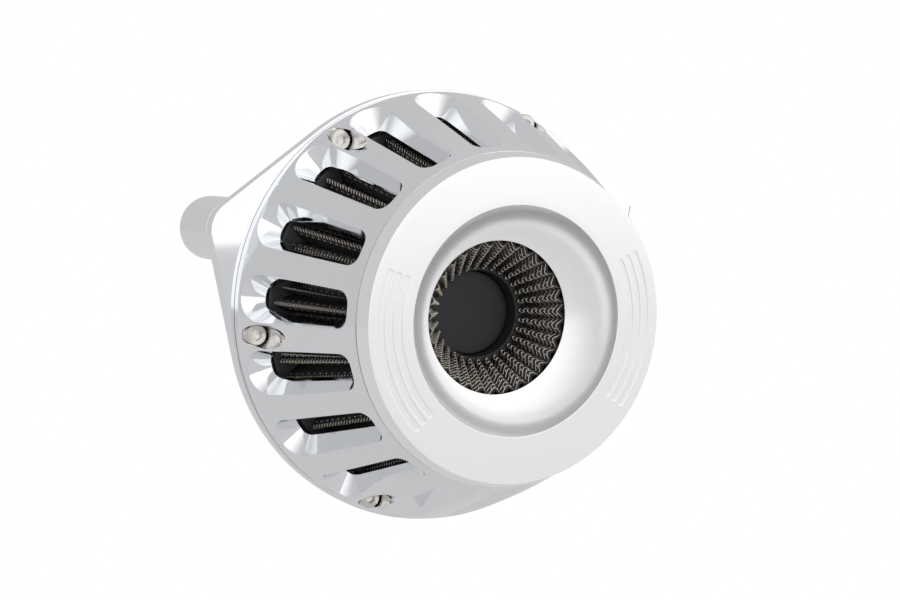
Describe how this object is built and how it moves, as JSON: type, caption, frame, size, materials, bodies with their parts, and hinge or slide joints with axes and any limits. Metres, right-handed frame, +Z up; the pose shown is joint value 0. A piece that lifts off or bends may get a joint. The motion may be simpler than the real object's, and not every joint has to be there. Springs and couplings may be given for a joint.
{
  "type": "air filter",
  "caption": "Round motorcycle air filter: pleated element with a sunken front cone under a slotted chrome cover, on a lobed backplate with breather posts.",
  "frame": {"origin": "centre of the rear face of the gasket, where the filter seals on the throttle body", "axes": "+Y along the filter's axis towards the engine, so the front faces -Y; +Z up, midway between the two breather posts; +X to the right seen from the front"},
  "size_m": [0.1934, 0.1249, 0.18],
  "materials": {
    "chrome": "polished chrome plate on machined aluminium",
    "polished_face": "bright chrome plate, finely turned",
    "stainless": "plain stainless steel",
    "zinc_steel": "zinc plated",
    "meshed_media": "black pleated gauze under woven wire mesh",
    "urethane": "moulded, satin",
    "rubber": "matte",
    "dark_disc": "smooth satin"
  },
  "bodies": {
    "backplate_group": {"backplate": "chrome", "breather_post_left": "chrome", "breather_post_right": "chrome", "breather_bolt_left": "zinc_steel", "breather_bolt_right": "zinc_steel", "breather_seal_left": "rubber", "breather_seal_right": "rubber", "throttle_gasket": "rubber", "throttle_screw_1": "zinc_steel", "throttle_screw_2": "zinc_steel", "throttle_screw_3": "zinc_steel"},
    "filter_element": {"filter_base_ring": "urethane", "filter_outer_pleats": "meshed_media", "filter_front_ring": "urethane", "filter_cone_pleats": "meshed_media", "filter_cone_ring": "rubber", "filter_cone_disc": "dark_disc"},
    "cover": {"slotted_cover": "chrome", "face_ring": "polished_face", "face_screw_1": "stainless", "face_screw_2": "stainless", "face_screw_3": "stainless", "face_screw_4": "stainless"},
    "cover_screws": {"cover_screw_1": "stainless", "cover_screw_2": "stainless", "cover_screw_3": "stainless", "cover_screw_4": "stainless", "cover_screw_5": "stainless", "cover_screw_6": "stainless"}
  },
  "joints": [
    {"name": "cover_lift", "type": "slide", "parent": "backplate_group", "child": "cover", "axis": [0, -1, 0], "range_m": [0, 0.18]},
    {"name": "element_lift", "type": "slide", "parent": "backplate_group", "child": "filter_element", "axis": [0, -1, 0], "range_m": [0, 0.09]},
    {"name": "screws_out", "type": "slide", "parent": "cover", "child": "cover_screws", "axis": [0, -1, 0], "range_m": [0, 0.03]}
  ],
  "couplings": [
    {"joint": "element_lift", "follows": "cover_lift", "ratio": 0.5}
  ]
}
